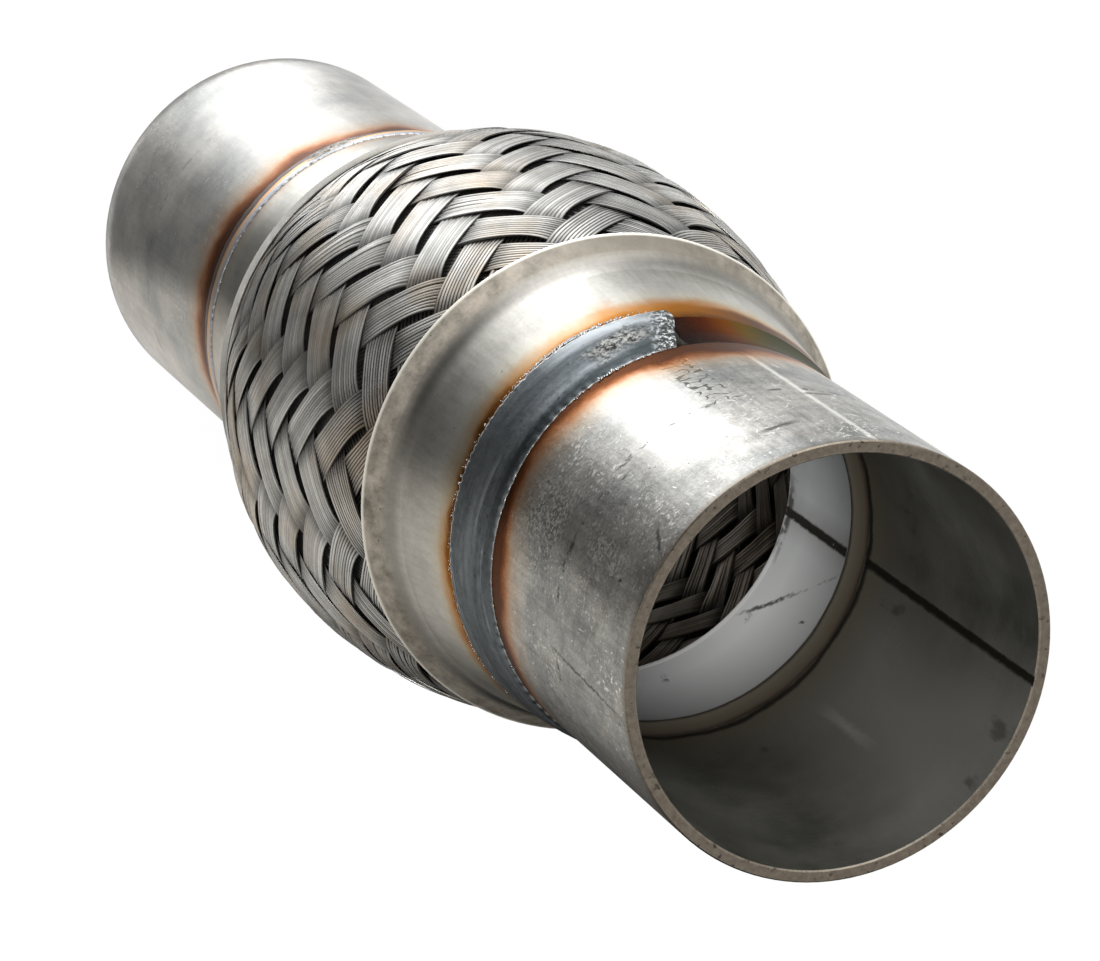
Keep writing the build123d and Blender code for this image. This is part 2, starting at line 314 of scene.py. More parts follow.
def laid_over(tree, tone, where, strength, colour):
    """Lay a colour over a tone, at some strength, where a mask is 1."""
    return mixed(tree, arithmetic(tree, "MULTIPLY", where, strength), tone, colour)


def cloud(tree, where, size, detail=3.0, rough=0.55, stretch=(1, 1, 1)):
    """Soft noise from 0 to 1 whose lumps are about this size, in millimetres, before stretching."""
    scaled = node(tree, "Mapping", where, None, None, tuple(1000 / size / s for s in stretch)).outputs[0]
    made = node(tree, "TexNoise", scaled)
    made.inputs["Scale"].default_value = 1.0
    made.inputs["Detail"].default_value = detail
    made.inputs["Roughness"].default_value = rough
    return made.outputs[0]


def metal(name, roughness, shine=1.0):
    """A bare metal finish, with its tree, its shader and its own coordinates. Shine is its metallic share."""
    made = bpy.data.materials.new(name)
    made.use_nodes = True
    shader = made.node_tree.nodes["Principled BSDF"]
    shader.inputs["Metallic"].default_value = shine
    shader.inputs["Roughness"].default_value = roughness
    return made, made.node_tree, shader, node(made.node_tree, "TexCoord").outputs["Object"]


def coloured(tree, shader, tone):
    """Give a metal its colour, and let dark and tinted metal stay so at a glancing view."""
    tree.links.new(tone, shader.inputs["Base Color"])
    glancing = node(tree, "VectorMath", tone, (0.85,) * 3, (0.5,) * 3, operation="MULTIPLY_ADD").outputs[0]
    glancing = node(tree, "VectorMath", glancing, (1, 1, 1), operation="MINIMUM").outputs[0]
    tree.links.new(glancing, shader.inputs["Specular Tint"])


def bumped(tree, shader, height, depth):
    """Raise a surface by a height from 0 to 1 times a depth in millimetres."""
    made = node(tree, "Bump", 1.0, depth * MM)
    tree.links.new(height, made.inputs["Height"])
    tree.links.new(made.outputs[0], shader.inputs["Normal"])


def wire_finish(name, dark, light, warm, roughness, shine, groove_tone, dip_shade_tone, open_from):
    """Drawn wire: each has its own tone, its grooves are darkened as painted shade, and painted shade
    darkens a ribbon where it dips under.

    Above a height in millimetres the wires stand apart and the painted shade in their grooves is wider and
    darker.
    """
    made, tree, shader, place = metal(name, roughness, shine)
    strip = node(tree, "SeparateXYZ", node(tree, "UVMap", uv_map="strip").outputs[0]).outputs[0]
    wire = arithmetic(tree, "FLOOR", strip)
    own = node(tree, "TexWhiteNoise", None, wire, noise_dimensions="1D").outputs[0]
    within = arithmetic(tree, "FRACT", strip)
    from_middle = arithmetic(tree, "ABSOLUTE", arithmetic(tree, "SUBTRACT", within, 0.5))
    # Painted shade: the grooves between wires are darkened, and more so where the wires stand apart.
    groove_shade = ramp(tree, from_middle, (0.3, 1.0), (0.48, groove_tone))
    height = node(tree, "SeparateXYZ", place).outputs[2]
    apart = fade(tree, height, open_from * MM, (open_from + 9) * MM, 0.0, 1.0)
    groove_shade = mixed(tree, apart, groove_shade, ramp(tree, from_middle, (0.18, 1.0), (0.42, 0.12)))
    tone = mixed(tree, own, dark, light)
    tone = mixed(tree, ramp(tree, cloud(tree, place, 14, 3), (0.47, 0.0), (0.7, 0.6)), tone, warm)
    smear = ramp(tree, cloud(tree, place, 5, 4), (0.3, 0.72), (0.6, 1.0))
    tone = shaded(tree, shaded(tree, tone, smear), groove_shade)
    # Painted shade: each ribbon darkens toward where it dips under the other hand, down to its dip level.
    crown = node(tree, "Attribute", attribute_name="crown").outputs["Fac"]
    high = arithmetic(tree, "MULTIPLY_ADD", crown, 0.5, 0.5)
    dip_shade = ramp(tree, high, (0.42, dip_shade_tone), (0.78, 0.58), (0.93, 0.94), (1.0, 1.0))
    coloured(tree, shader, shaded(tree, tone, dip_shade))
    return made


# The liner: a tube of woven ribbon between the two sleeves, seen down the near tube.

def liner_radius(height):
    """The liner is a plain tube."""
    return np.full_like(height, 29.5 * MM)


liner_finish = wire_finish("sooty liner wire", dark=srgb(126, 119, 110), light=srgb(148, 141, 133),
                           warm=srgb(122, 108, 94), roughness=0.4, shine=1.0, groove_tone=0.72,
                           dip_shade_tone=0.14, open_from=400)
for hand, name in ((1, "liner_ribbons_right"), (-1, "liner_ribbons_left")):
    liner = ribbons(name, hand, seed=7 + hand, outward=-1, wall_radius=liner_radius, limit=30.1 * MM,
                    span=(84 * MM, 171 * MM), lead=28.3 * MM, rise=3.1 * MM, half_width=2.3 * MM,
                    lift=0.34 * MM, wires=6, wire_rise=0.05 * MM, thick=0.16 * MM)
    liner.data.materials.append(liner_finish)
    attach(liner, "root")
    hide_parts("inner_braid")


# The jacket: it bulges between the two caps and runs a little way under their lips.

FAR_MOUTH = 93.047 * MM
NEAR_MOUTH = 161.453 * MM
CROWN_HEIGHT = 122.0 * MM
CROWN_RADIUS = 44.08 * MM
MOUTH_RADIUS = 37.823 * MM
FLARE_SLOPE = 0.73


def jacket_radius(height):
    """A low parabola from mouth to mouth, and the caps' own flare below it at both ends."""
    mouth = np.where(height > CROWN_HEIGHT, NEAR_MOUTH, FAR_MOUTH)
    share = (height - CROWN_HEIGHT) / (mouth - CROWN_HEIGHT)
    arch = CROWN_RADIUS - (CROWN_RADIUS - MOUTH_RADIUS) * np.minimum(share, 1) ** 2
    return arch - FLARE_SLOPE * np.maximum(0, np.maximum(FAR_MOUTH - height, height - NEAR_MOUTH))


jacket_finish = wire_finish("bright jacket wire", dark=srgb(146, 145, 141), light=srgb(182, 181, 178),
                            warm=srgb(156, 138, 114), roughness=0.27, shine=0.82, groove_tone=0.7,
                            dip_shade_tone=0.16, open_from=146)
for hand, name in ((1, "jacket_ribbons_right"), (-1, "jacket_ribbons_left")):
    jacket = ribbons(name, hand, seed=3 + hand, outward=1, wall_radius=jacket_radius, limit=44.68 * MM,
                     span=(91.2 * MM, 163.3 * MM), lead=33.0 * MM, rise=-0.9 * MM, half_width=3.18 * MM,
                     lift=0.46 * MM, wires=10, wire_rise=0.06 * MM, thick=0.16 * MM)
    jacket.data.materials.append(jacket_finish)
    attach(jacket, "root")
    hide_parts("outer_braid")


# Bellows and sleeves

# The bellows is thin stainless sheet, seen only through the weave; its near-black colour is painted
# shade. A bright rolled sleeve, with a seam, clamps the liner at each end.

# From here on, the sizes of pieces are in millimetres and azimuths in degrees.
SEAM_AZIMUTH = 118.5
SLEEVE_BORE = 28.6
SLEEVE_MIDDLE = 12
SLEEVE_END = 25.4


def dress(node_name, finish):
    """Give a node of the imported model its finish."""
    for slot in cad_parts[node_name].material_slots:
        slot.material = finish


# Painted shade: the bellows sheet is coloured near-black.
bellows_finish, tree, shader, place = metal("shaded bellows sheet", 0.5)
tree.links.new(mixed(tree, cloud(tree, place, 8), srgb(40, 37, 34), srgb(66, 61, 56)),
               shader.inputs["Base Color"])
dress("bellows", bellows_finish)


def level(tree, place):
    """Height above the floor, in millimetres."""
    return arithmetic(tree, "MULTIPLY", node(tree, "SeparateXYZ", place).outputs[2], 1000.0)


def azimuth_of(tree, place):
    """The angle round the pipe's axis, in radians."""
    parts = node(tree, "SeparateXYZ", place)
    return arithmetic(tree, "ARCTAN2", parts.outputs[1], parts.outputs[0])


def near(tree, value, middle):
    """How far a value lies from another, either way."""
    return arithmetic(tree, "ABSOLUTE", arithmetic(tree, "SUBTRACT", value, middle))


def mark(tree, place, azimuth, height, radius, long, wide, lean=0, fray=0.0, soft=0.2):
    """1 on a straight mark and 0 off it.

    Its middle is at an azimuth in degrees and a height in millimetres on a round wall. It is so long and so
    wide in millimetres and leans from the axis by some degrees. Noise frays its sides by some millimetres,
    and soft is the share of its size over which it fades.
    """
    turned = node(tree, "Mapping", place, None, (0, 0, -np.radians(azimuth))).outputs[0]
    side = arithmetic(tree, "MULTIPLY", azimuth_of(tree, turned), radius)
    up = arithmetic(tree, "SUBTRACT", level(tree, place), height)
    cosine, sine = np.cos(np.radians(lean)), np.sin(np.radians(lean))
    along = arithmetic(tree, "ADD", arithmetic(tree, "MULTIPLY", up, cosine),
                       arithmetic(tree, "MULTIPLY", side, sine))
    across = arithmetic(tree, "SUBTRACT", arithmetic(tree, "MULTIPLY", side, cosine),
                        arithmetic(tree, "MULTIPLY", up, sine))
    if fray:
        crook = arithmetic(tree, "SUBTRACT", cloud(tree, place, max(1.2, wide), 4, 0.65), 0.5)
        across = arithmetic(tree, "ADD", across, arithmetic(tree, "MULTIPLY", crook, fray))
        along = arithmetic(tree, "ADD", along, arithmetic(tree, "MULTIPLY", crook, fray))
    past_end = arithmetic(tree, "DIVIDE", arithmetic(tree, "ABSOLUTE", along), long / 2)
    past_side = arithmetic(tree, "DIVIDE", arithmetic(tree, "ABSOLUTE", across), wide / 2)
    off = arithmetic(tree, "MAXIMUM", past_end, past_side)
    return fade(tree, off, 1.0 - soft, 1.0 + soft, 1.0, 0.0)


def ragged(tree, place, size, reach):
    """Noise as a distance, up to a reach in millimetres to either side."""
    noise = arithmetic(tree, "SUBTRACT", cloud(tree, place, size, 6, 0.62), 0.5)
    return arithmetic(tree, "MULTIPLY", noise, 4 * reach)


def sleeve_finish(name, collar, inner, up):
    """Satin sheet. Its flared collar is browned and edged by dark rings.

    The collar starts at a height, is so deep in millimetres, and the sleeve runs up or down from there.
    """
    made, tree, shader, place = metal(name, 0.45, shine=0.25)
    middle = collar + up * SLEEVE_MIDDLE
    tone = mixed(tree, cloud(tree, place, 11, 4), srgb(184, 187, 187), srgb(214, 217, 216))
    tone = shaded(tree, tone, ramp(tree, cloud(tree, place, 1.5, 2), (0.22, 0.3), (0.26, 1.0)))
    soot = mark(tree, place, SEAM_AZIMUTH, middle, SLEEVE_BORE, long=40, wide=5, fray=2, soft=0.6)
    tone = laid_over(tree, tone, soot, 0.45, srgb(90, 88, 82))
    # Painted light: a broad paler band up the sleeve on the lit side of the bore.
    painted_light_band = mark(tree, place, 83, middle, SLEEVE_BORE, long=100, wide=28, fray=2, soft=0.8)
    tone = laid_over(tree, tone, painted_light_band, 0.9, srgb(240, 241, 239))
    broken = ramp(tree, cloud(tree, place, 1.7, 3), (0.42, 0.1), (0.52, 1.0))
    for azimuth, ahead, lean, long, wide, share in (
            (91, 7, 37, 10.5, 0.7, 0.9), (104, -2.5, 33, 13, 0.4, 0.45), (84, 9.5, -10, 1.6, 1.4, 0.8),
            (51, 7.5, -15, 2.6, 0.9, 0.9), (93, -4.5, 20, 1.2, 0.5, 0.9), (117, 13.2, 88, 11, 2.2, 0.85)):
        height = middle + up * ahead
        scar = mark(tree, place, azimuth, height, SLEEVE_BORE, long, wide, lean, fray=1.2, soft=0.45)
        tone = laid_over(tree, tone, arithmetic(tree, "MULTIPLY", scar, broken), share, srgb(60, 59, 55))
    seam = mark(tree, place, SEAM_AZIMUTH, middle, SLEEVE_BORE, long=60, wide=1.5, fray=0.5, soft=0.25)
    tone = mixed(tree, seam, tone, srgb(44, 41, 36))
    dots = ramp(tree, cloud(tree, place, 0.8, 2), (0.66, 0.0), (0.7, 1.0))
    seam = mark(tree, place, SEAM_AZIMUTH, middle, SLEEVE_BORE, long=60, wide=1.2)
    tone = laid_over(tree, tone, dots, seam, srgb(190, 188, 180))
    depth = arithmetic(tree, "MULTIPLY", arithmetic(tree, "SUBTRACT", level(tree, place), collar), up)
    share = arithmetic(tree, "DIVIDE", depth, inner)
    wavy = arithmetic(tree, "ADD", share, arithmetic(tree, "MULTIPLY", ragged(tree, place, 9, 0.2), 0.3))
    rings = ramp(tree, wavy, (0.0, srgb(40, 37, 33)), (0.2, srgb(70, 63, 54)), (0.5, srgb(76, 72, 62)),
                 (0.78, srgb(84, 79, 70)), (0.92, srgb(34, 32, 28)), (1.0, srgb(120, 120, 116)))
    tone = shaded(tree, tone, fade(tree, depth, inner, 19.0, 0.42, 1.0))
    # Painted highlight: a near-white line along the sleeve's end, only on the lit side.
    lip = near(tree, level(tree, place), collar + up * SLEEVE_END)
    lit = mark(tree, place, 76, collar, SLEEVE_BORE, long=80, wide=30, fray=1.5)
    tone = laid_over(tree, tone, fade(tree, lip, 0.35, 0.6, 1.0, 0.0), lit, srgb(252, 252, 250))
    tone = mixed(tree, fade(tree, share, 0.97, 1.03, 1.0, 0.0), tone, rings)
    coloured(tree, shader, tone)
    bumped(tree, shader, cloud(tree, place, 3, 4, stretch=(1, 1, 6)), 0.03)
    return made


dress("near_sleeve", sleeve_finish("near sleeve sheet", collar=193.0, inner=3.7, up=-1.0))
dress("far_sleeve", sleeve_finish("far sleeve sheet", collar=61.5, inner=3.7, up=1.0))


# End caps

# Each cap is one pressing: a neck, a long cone and a flared lip that grips the jacket. The weld's heat has
# left straw, orange and brown rings beside the bead.

NEAR_TOE = 184.8
FAR_TOE = 67.7
NECK_RADIUS = 33.3
LIP_RADIUS = 39
LIP_WIDTH = 4.6


def heat_rings(tree, tone, distance, jitter, *stops):
    """Lay colours over a tone: each stop is a distance in millimetres, a colour and how strong it is."""
    last = stops[-1][0]
    share = arithmetic(tree, "DIVIDE", arithmetic(tree, "ADD", distance, jitter), last)
    colours = ramp(tree, share, *[(away / last, colour) for away, colour, strong in stops])
    strengths = ramp(tree, share, *[(away / last, strong) for away, colour, strong in stops])
    return mixed(tree, strengths, tone, colours)


def cap_finish(name, toe, lip, browned, lip_dark, lip_light, edge):
    """Satin pressing, browned by some share beside the bead, with a dull flared lip between its two ends.

    The toe is the height where the bead ends on the neck, and the lip is the height of the open end.
    """
    made, tree, shader, place = metal(name, 0.33)
    broad = ramp(tree, cloud(tree, place, 16, 4), (0.34, 0.0), (0.66, 1.0))
    tone = mixed(tree, broad, srgb(150, 148, 142), srgb(180, 178, 173))
    streak = cloud(tree, place, 0.9, 3, stretch=(1, 1, 30))
    tone = shaded(tree, tone, ramp(tree, streak, (0.3, 0.84), (0.7, 1.0)))
    tone = shaded(tree, tone, ramp(tree, cloud(tree, place, 0.6, 3, 0.7), (0.35, 0.9), (0.6, 1.0)))
    from_lip = near(tree, level(tree, place), lip)
    flare = fade(tree, from_lip, LIP_WIDTH - 2, LIP_WIDTH, 1.0, 0.0)
    patchy = ramp(tree, cloud(tree, place, 3.5, 6, 0.72), (0.32, 0.0), (0.64, 1.0))
    lip_tone = mixed(tree, patchy, lip_dark, lip_light)
    dull = mark(tree, place, -145, lip, LIP_RADIUS, long=12, wide=34, fray=4, soft=0.7)
    lip_tone = laid_over(tree, lip_tone, dull, 0.9, srgb(92, 87, 78))
    tone = laid_over(tree, tone, flare, 0.85, lip_tone)
    # Painted shade: a dark band along the fold between the flared lip and the cone.
    fold = near(tree, from_lip, LIP_WIDTH)
    tone = mixed(tree, fade(tree, fold, 0.4, 2.2, 0.55, 0.0), tone, srgb(96, 93, 87))
    # Painted highlight: a thin line along the lip's edge, near-white on the near cap.
    tone = mixed(tree, fade(tree, from_lip, 0.15, 0.5, 0.75, 0.0), tone, edge)
    tone = shaded(tree, tone, ramp(tree, cloud(tree, place, 1.1, 2), (0.22, 0.22), (0.25, 1.0)))
    inward = np.sign(lip - toe)
    from_toe = arithmetic(tree, "MULTIPLY", arithmetic(tree, "SUBTRACT", level(tree, place), toe), inward)
    tone = heat_rings(tree, tone, from_toe, ragged(tree, place, 9, 1.2),
                      (0.0, srgb(82, 54, 32), browned), (0.8, srgb(132, 94, 54), 0.9 * browned),
                      (1.8, srgb(158, 130, 86), 0.62 * browned), (3.2, srgb(166, 148, 112), 0.4 * browned),
                      (5.0, srgb(172, 162, 134), 0.22 * browned), (8.0, srgb(176, 171, 158), 0.0))
    for azimuth, away, long, wide, share in ((-141, 0.6, 17, 5.0, 0.8), (-126, 3.0, 3.0, 5.5, 0.4),
                                             (-104, 1.4, 22, 4.0, 0.35), (-30, 1.0, 24, 3.6, 0.5)):
        height = toe + away * inward
        scorch = mark(tree, place, azimuth, height, NECK_RADIUS, long, wide, lean=90, fray=2.6, soft=0.6)
        tone = laid_over(tree, tone, scorch, share * browned, srgb(150, 98, 42))
    coloured(tree, shader, tone)
    tree.links.new(arithmetic(tree, "MULTIPLY_ADD", flare, 0.3, 0.3), shader.inputs["Roughness"])
    bumped(tree, shader, cloud(tree, place, 2.2, 4, stretch=(1, 1, 10)), 0.03)
    return made


dress("near_cap", cap_finish("near cap steel", NEAR_TOE, lip=162.5, browned=1.0, lip_dark=srgb(90, 84, 75),
                             lip_light=srgb(158, 150, 138), edge=srgb(220, 217, 208)))
dress("far_cap", cap_finish("far cap steel", FAR_TOE, lip=92.0, browned=0.25, lip_dark=srgb(122, 121, 118),
                            lip_light=srgb(162, 160, 156), edge=srgb(146, 144, 140)))


# Extension tubes

# Seam-welded mill tube, sawn to length. The outside is scuffed and pitted from handling, the inside is dark,
# and the weld has browned the last few millimetres.

# A foot is the height where the tube meets its bead. What lies within the bore limit is the tube's inside.
NEAR_FOOT = 198.4
FAR_FOOT = 60.7
TUBE_RADIUS = 31.75
BORE_RADIUS = 29.95
BORE_LIMIT = 30.2
MID_HEIGHT = 125
FULL_LENGTH = 400
LEAST_WEAR = 0.45


def tube_inside(tree, place, foot, rim, up):
    """Dark patchy oxide, with the rolled seam, a ring of soot at the weld, smudges and one pale streak."""
    patchy = ramp(tree, cloud(tree, place, 13, 5, 0.62), (0.34, 0.0), (0.66, 1.0))
    tone = mixed(tree, patchy, srgb(72, 72, 67), srgb(101, 100, 94))
    tone = shaded(tree, tone, ramp(tree, cloud(tree, place, 1.2, 2), (0.23, 0.45), (0.27, 1.0)))
    # Painted light: a paler band up the bore on the side where light falls into it.
    rub_and_light_patch = mark(tree, place, 88, rim - up * 31, BORE_RADIUS, long=62, wide=22, fray=3, soft=0.9)
    tone = mixed(tree, rub_and_light_patch, tone, srgb(128, 127, 122))
    smudge = cloud(tree, place, 4.5, 3, stretch=(1, 1, 2.5))
    tone = shaded(tree, tone, ramp(tree, smudge, (0.26, 0.55), (0.33, 1.0)))
    pale = mark(tree, place, 77, rim - up * 37, BORE_RADIUS, long=11, wide=1.2, fray=1.2, soft=0.9)
    tone = laid_over(tree, tone, pale, 0.28, srgb(200, 200, 196))
    from_end = near(tree, level(tree, place), foot - up * 5.4)
    tone = mixed(tree, fade(tree, from_end, 3.0, 14.0, 0.85, 0.0), tone, srgb(110, 103, 91))
    wavy = near(tree, arithmetic(tree, "ADD", from_end, ragged(tree, place, 12, 0.8)), 0.8)
    tone = mixed(tree, fade(tree, wavy, 0.3, 1.0, 0.9, 0.0), tone, srgb(34, 31, 27))
    seam = mark(tree, place, SEAM_AZIMUTH, MID_HEIGHT, BORE_RADIUS, FULL_LENGTH, wide=1.3, fray=0.6, soft=0.3)
    return mixed(tree, seam, tone, srgb(40, 38, 33))


def tube_finish(name, foot, rim, up, wear, shine, lobes):
    """Mill steel: scuffed and pitted outside, dark inside, browned at the weld and dull on the sawn rim.

    The foot and the rim are the heights of its two ends, and up is 1 where the rim is above, -1 where it is
    below. Wear and shine go from 0 to 1. Each lobe is an azimuth, a width, and how much further the brown
    reaches, in millimetres.
    """
    made, tree, shader, place = metal(name, 0.29)
    here = level(tree, place)
    broad = ramp(tree, cloud(tree, place, 17, 4, 0.6), (0.36, 0.0), (0.64, 1.0))
    tone = mixed(tree, broad, srgb(148, 149, 147), srgb(178, 175, 170))
    blotch = ramp(tree, cloud(tree, place, 4, 5, 0.68), (0.36, 1 - 0.3 * wear), (0.58, 1.0))
    drawn = ramp(tree, cloud(tree, place, 0.8, 3, stretch=(1, 1, 40)), (0.32, 1 - 0.2 * wear), (0.6, 1.0))
    grain = ramp(tree, cloud(tree, place, 0.45, 3, 0.7), (0.3, 1 - 0.26 * wear), (0.62, 1.0))
    for shade in (blotch, drawn, grain):
        tone = shaded(tree, tone, shade)
    where = ramp(tree, cloud(tree, place, 9, 3, stretch=(1, 1, 2)), (0.5, 0.0), (0.62, wear))
    fleck = ramp(tree, cloud(tree, place, 0.7, 3, 0.6), (0.56, 0.0), (0.64, 0.8))
    tone = laid_over(tree, tone, where, fleck, srgb(208, 206, 202))
    for lean, width in ((12, 0.5), (-31, 0.7), (52, 0.5)):
        leaning = node(tree, "Mapping", place, None, (np.radians(lean), np.radians(lean / 2), 0)).outputs[0]
        line = cloud(tree, leaning, width, 2, stretch=(1, 1, 16))
        tone = mixed(tree, ramp(tree, line, (0.7, 0.0), (0.74, 0.6 * wear)), tone, srgb(222, 220, 216))
    tone = shaded(tree, tone, ramp(tree, cloud(tree, place, 1.1, 3), (0.25, 1 - 0.8 * wear), (0.3, 1.0)))
    # Painted highlight: a pale patch where the tube's highlight falls.
    painted_highlight = mark(tree, place, -113, rim - up * 33, TUBE_RADIUS, long=26, wide=8, fray=4, soft=0.8)
    tone = laid_over(tree, tone, painted_highlight, 0.7 * wear, srgb(204, 203, 199))
    scribed = near(tree, arithmetic(tree, "ADD", here, ragged(tree, place, 30, 0.9)), rim - up * 26.3)
    dash = ramp(tree, cloud(tree, place, 2.2, 4, 0.7), (0.52, 0.0), (0.58, 0.7 * wear))
    tone = laid_over(tree, tone, fade(tree, scribed, 0.3, 0.7, 1.0, 0.0), dash, srgb(62, 60, 56))
    pale = mark(tree, place, -148, MID_HEIGHT, TUBE_RADIUS, FULL_LENGTH, wide=0.8, fray=0.3, soft=0.5)
    tone = laid_over(tree, tone, pale, wear - LEAST_WEAR, srgb(222, 222, 214))
    crumbs = ramp(tree, cloud(tree, place, 0.55, 3, 0.7), (0.5, 0.0), (0.56, 0.75 * wear))
    for azimuth, height, long, wide in ((-76.5, 235, 13, 3.6), (-76, 213, 13, 8)):
        rub_and_light_patch = mark(tree, place, azimuth, height, TUBE_RADIUS, long, wide, fray=5, soft=0.4)
        tone = laid_over(tree, tone, rub_and_light_patch, crumbs, srgb(214, 214, 210))
    struck = mark(tree, place, -128, 214, TUBE_RADIUS, long=23, wide=4.2, soft=0.1)
    stroke = near(tree, cloud(tree, place, 2.6, 1, 0.4), 0.5)
    dent = arithmetic(tree, "MULTIPLY", struck, ramp(tree, stroke, (0.012, 0.9 * wear), (0.03, 0.0)))
    tone = mixed(tree, dent, tone, srgb(74, 72, 68))
    for azimuth, height, lean, long, wide in (
            (-130, 239, 84, 5.5, 1.0), (-87, 245.5, 28, 5.5, 0.6), (-43, 235, 4, 20, 0.4),
            (-94, 226.5, 0, 0.9, 0.9), (-152, 225.5, 78, 5, 0.7)):
        scratch = mark(tree, place, azimuth, height, TUBE_RADIUS, long, wide, lean, fray=1.5, soft=0.5)
        tone = laid_over(tree, tone, scratch, 0.75 * wear, srgb(64, 62, 58))
    worn_edge = near(tree, arithmetic(tree, "ADD", here, ragged(tree, place, 4, 0.8)), rim)
    tone = mixed(tree, fade(tree, worn_edge, 0.3, 1.6, 0.7 * wear, 0.0), tone, srgb(112, 104, 94))
    spread = ragged(tree, place, 7, 1.4)
    for azimuth, wide, reach in lobes:
        lobe = mark(tree, place, azimuth, foot, TUBE_RADIUS, long=90, wide=wide, fray=5, soft=0.8)
        spread = arithmetic(tree, "ADD", spread, arithmetic(tree, "MULTIPLY", lobe, -reach))
    tone = heat_rings(tree, tone, near(tree, here, foot), spread,
                      (0.0, srgb(78, 50, 35), 1.0), (1.2, srgb(112, 70, 44), 1.0),
                      (2.4, srgb(140, 92, 54), 0.85), (3.8, srgb(160, 118, 76), 0.55),
                      (6.0, srgb(166, 138, 106), 0.28), (11.0, srgb(166, 150, 128), 0.0))
    flat = node(tree, "Mapping", place, None, None, (1, 1, 0)).outputs[0]
    radius = node(tree, "VectorMath", flat, operation="LENGTH").outputs["Value"]
    bore = arithmetic(tree, "LESS_THAN", radius, BORE_LIMIT * MM)
    tone = mixed(tree, bore, tone, tube_inside(tree, place, foot, rim, up))
    cut = mixed(tree, cloud(tree, place, 1.0, 4, 0.7), srgb(66, 60, 53), srgb(128, 119, 107))
    cut = shaded(tree, cut, ramp(tree, cloud(tree, place, 0.9, 3), (0.3, 0.35), (0.38, 1.0)))
    tone = mixed(tree, fade(tree, near(tree, here, rim), 0.1, 0.25, 1.0, 0.0), tone, cut)
    coloured(tree, shader, tone)
    tree.links.new(mixed(tree, bore, (shine,) * 4, (0.6,) * 4), shader.inputs["Metallic"])
    deep = arithmetic(tree, "MULTIPLY", dent, 1.5)
    rough = arithmetic(tree, "SUBTRACT", cloud(tree, place, 0.9, 4, 0.7), deep)
    bumped(tree, shader, rough, 0.05 * wear)
    return made


dress("near_tube", tube_finish("near tube steel", NEAR_FOOT, rim=250.0, up=1.0, wear=1.0, shine=1.0,
                               lobes=((-50, 30, 2.8), (-143, 22, 3.6), (-125, 5, 2.2), (-104, 12, 1.7),
                                      (-76, 12, -1.2))))
dress("far_tube", tube_finish("far tube steel", FAR_FOOT, rim=0.0, up=-1.0, wear=LEAST_WEAR, shine=0.84,
                              lobes=((-58, 36, 2.6), (-80, 14, 0.9), (-113, 9, 2.2), (-147, 8, 2.4))))


# Ring welds

# A machine-laid bead joins tube, bellows cuff and cap. Its skin is slate grey oxide with ragged edges, and
# the stretch it misses shows the bare root.

NEAR_BEAD = {"bead_start": 222.8, "bead_sweep": 244}
FAR_BEAD = {"bead_start": 35, "bead_sweep": 318}
BEAD_RADIUS = 32.8
SLANT = 3.7
STEPS_ROUND = 720
STEPS_ACROSS = 26
# The bead's section: its radius and quick step at the foot, the line that its slope is counted from, its
# arch, how much is rounded off at the toe, and the two corners under it.
FOOT_RADIUS = 31.72
FOOT_STEP = 0.3
SLOPE_FROM = 32.1
ARCH_RISE = 0.32
TOE_ROUND = 0.28
UNDER_RADII = (31.9, 31.45)
# The bare root's section: its radius at the cap's neck and how deep it sags.
ROOT_END = 32.85
ROOT_SAG = 0.7


def wobble(seed, azimuth, along, lumps, fineness):
    """A sum of cosines of whole-number frequency round the ring, each with its own phase."""
    chance = np.random.default_rng(seed)
    total = np.zeros(np.broadcast(azimuth, along).shape)
    for _ in range(lumps):
        turns = chance.integers(fineness // 3, fineness)
        total = total + np.cos(turns * azimuth + chance.uniform(0, 9) * along + chance.uniform(0, 6.28))
    return total / np.sqrt(lumps)


def closed_ring(name, points, across_mm, flip):
    """Join points, shaped (round the pipe, round the section, 3), into a closed ring of quads.

    Its UV map holds the turn, 0 to 1, and the place across the bead, in millimetres.
    """
    count, section = points.shape[:2]
    index = np.arange(count * section).reshape(count, section)
    across = np.roll(index, -1, axis=1)
    quads = np.stack([index, across, np.roll(across, -1, axis=0), np.roll(index, -1, axis=0)], axis=-1)
    step = np.arange(count).reshape(-1, 1) + np.zeros((1, section))
    turn = np.stack([step, step, step + 1, step + 1], axis=-1) / count
    after = np.roll(across_mm, -1)
    side = np.broadcast_to(np.stack([across_mm, after, after, across_mm], axis=-1), turn.shape)
    uv = np.stack([turn, side], axis=-1)
    if flip:
        quads = quads[:, :, ::-1]
        uv = uv[:, :, ::-1]
    mesh = bpy.data.meshes.new(name)
    mesh.from_pydata(points.reshape(-1, 3).tolist(), [], quads.reshape(-1, 4).tolist())
    layer = mesh.uv_layers.new(name="bead")
    layer.data.foreach_set("uv", uv.reshape(-1).astype(np.float32))
    mesh.polygons.foreach_set("use_smooth", np.ones(quads.shape[0] * section, dtype=bool))
    mesh.set_sharp_from_angle(angle=SHARP_ANGLE)
    return placed(name, mesh)


